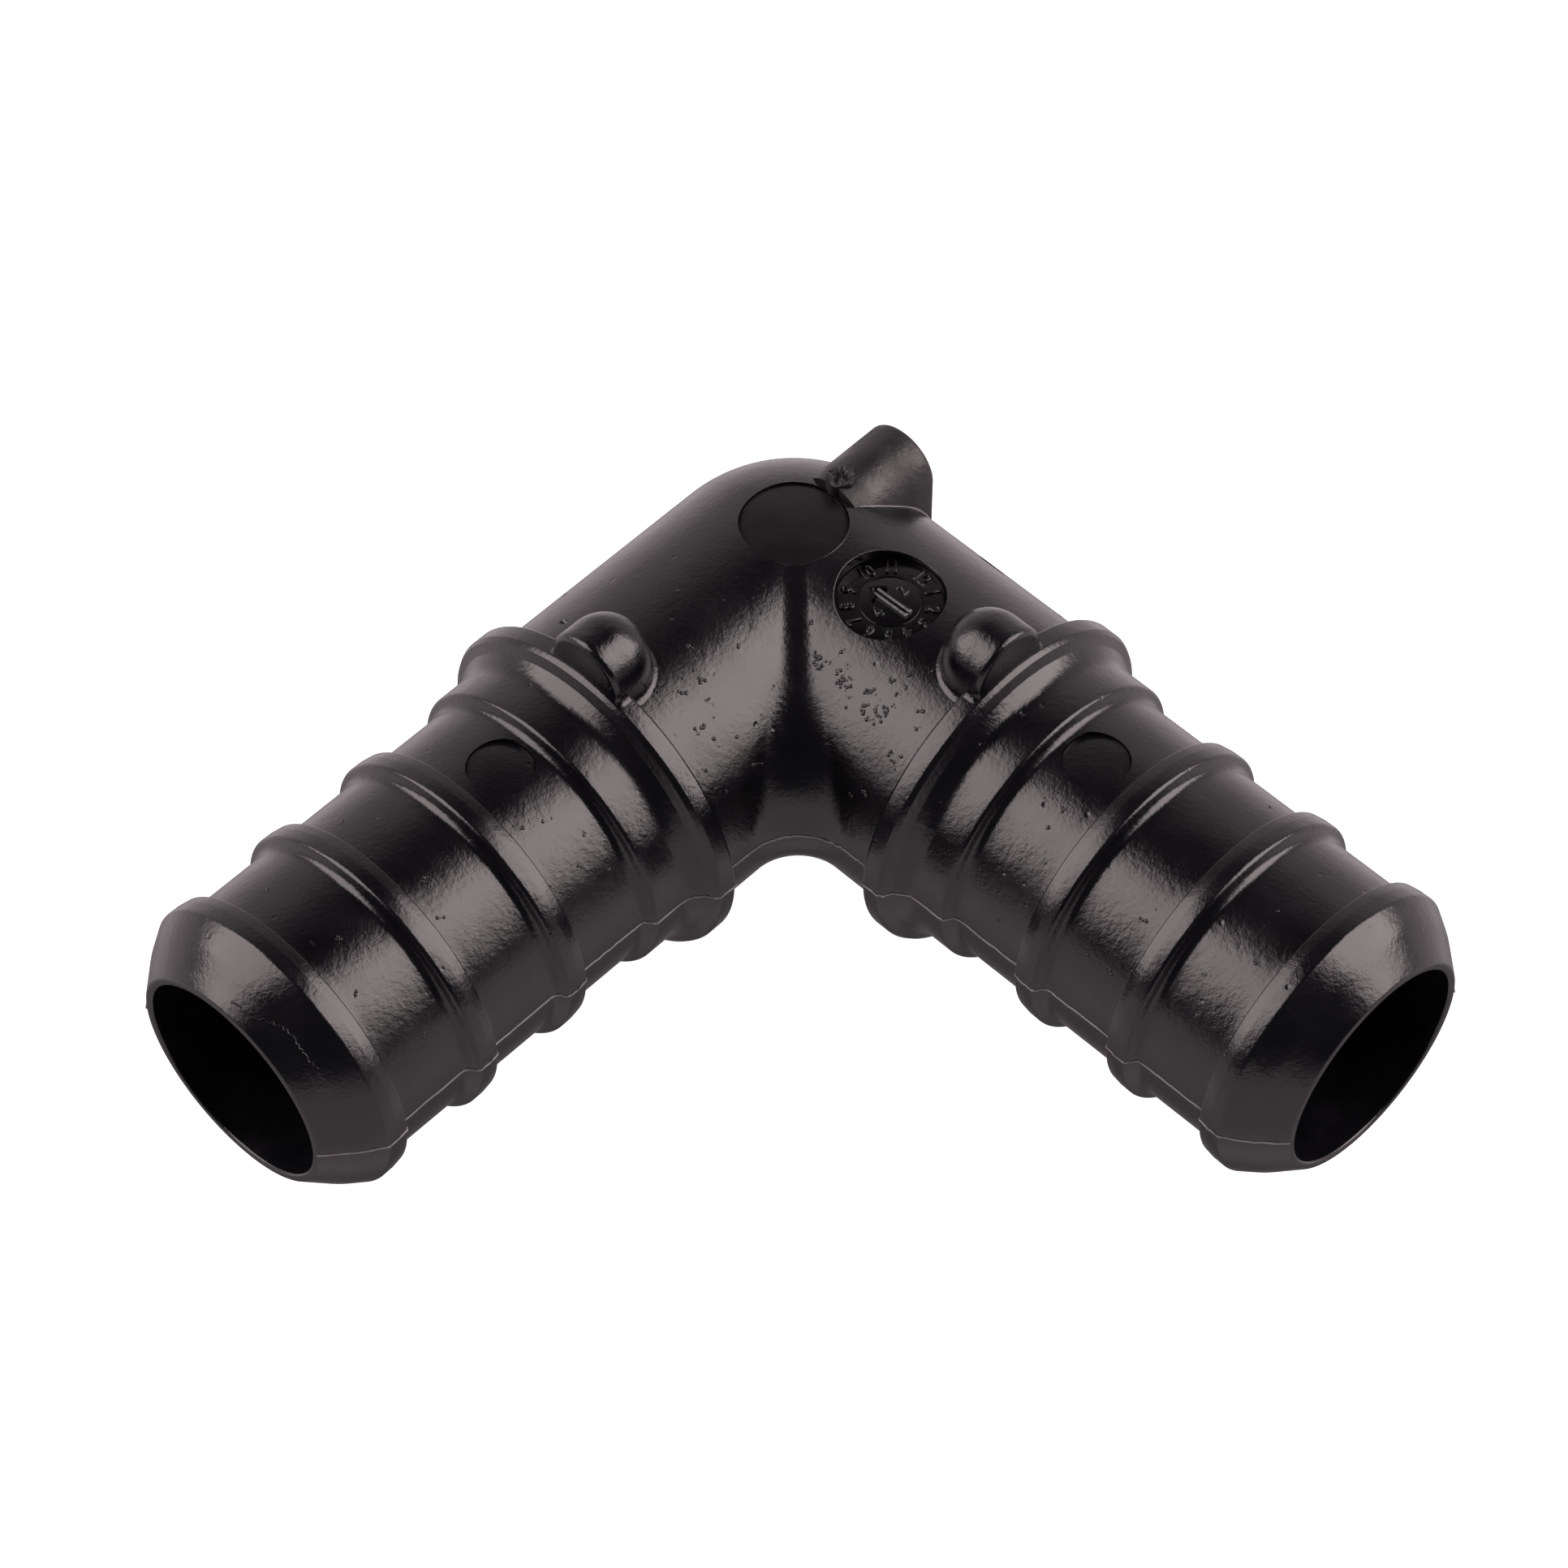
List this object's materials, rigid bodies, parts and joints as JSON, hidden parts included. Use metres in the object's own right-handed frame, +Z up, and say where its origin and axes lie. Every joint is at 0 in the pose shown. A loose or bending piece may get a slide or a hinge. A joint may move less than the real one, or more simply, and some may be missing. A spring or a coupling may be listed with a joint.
{
  "type": "barbed hose elbow",
  "caption": "Right-angle barbed elbow that joins two soft irrigation hoses; open bore from mouth to mouth, ribbed tails and stop collars.",
  "frame": {"origin": "where the centre lines of the two bores cross", "axes": "+Z is up, square to the plane of the two tails; the left tail points along -X -Y and the right tail along +X -Y, each at 45 degrees, so +Y points away from the inner corner"},
  "size_m": [0.091, 0.0577, 0.0302],
  "materials": {
    "black_plastic": "glossy black moulded plastic with a faint orange peel, fine pits and a witness line along the mould's parting plane",
    "dull_black_plastic": "satin black plastic left by the mould's round inserts and at the broken-off gate"
  },
  "bodies": {
    "root": {"elbow_bend": "black_plastic", "left_collar": "black_plastic", "right_collar": "black_plastic", "left_hose_tail": "black_plastic", "right_hose_tail": "black_plastic", "left_lug": "black_plastic", "right_lug": "black_plastic", "corner_stub": "black_plastic", "date_clock": "dull_black_plastic", "gate_mark": "dull_black_plastic"}
  },
  "joints": []
}
